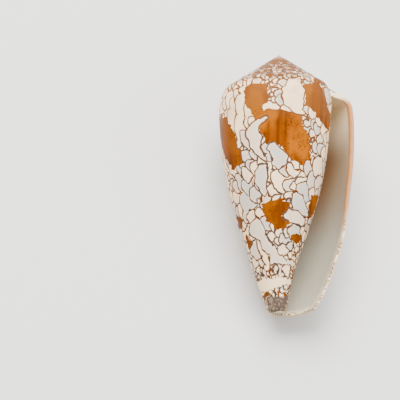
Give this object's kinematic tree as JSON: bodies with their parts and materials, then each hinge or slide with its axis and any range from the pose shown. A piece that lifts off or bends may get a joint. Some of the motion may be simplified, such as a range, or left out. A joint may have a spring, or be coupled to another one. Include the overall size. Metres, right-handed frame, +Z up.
{
  "type": "cone seashell",
  "caption": "Cone-shaped sea snail shell with a low pointed spire and a long narrow mouth, marked with orange-brown patches and white tents, lying on its back.",
  "frame": {"origin": "centre of the bounding box's underside, at the height of the ground", "axes": "+Y towards the spire, +X towards the outer lip, +Z up, out of the mouth"},
  "size_m": [0.0306, 0.0604, 0.0283],
  "materials": {
    "shell": "polished shell, white and orange-brown outside, smooth pale porcelain inside"
  },
  "bodies": {
    "root": {"shell": "shell"}
  },
  "joints": []
}
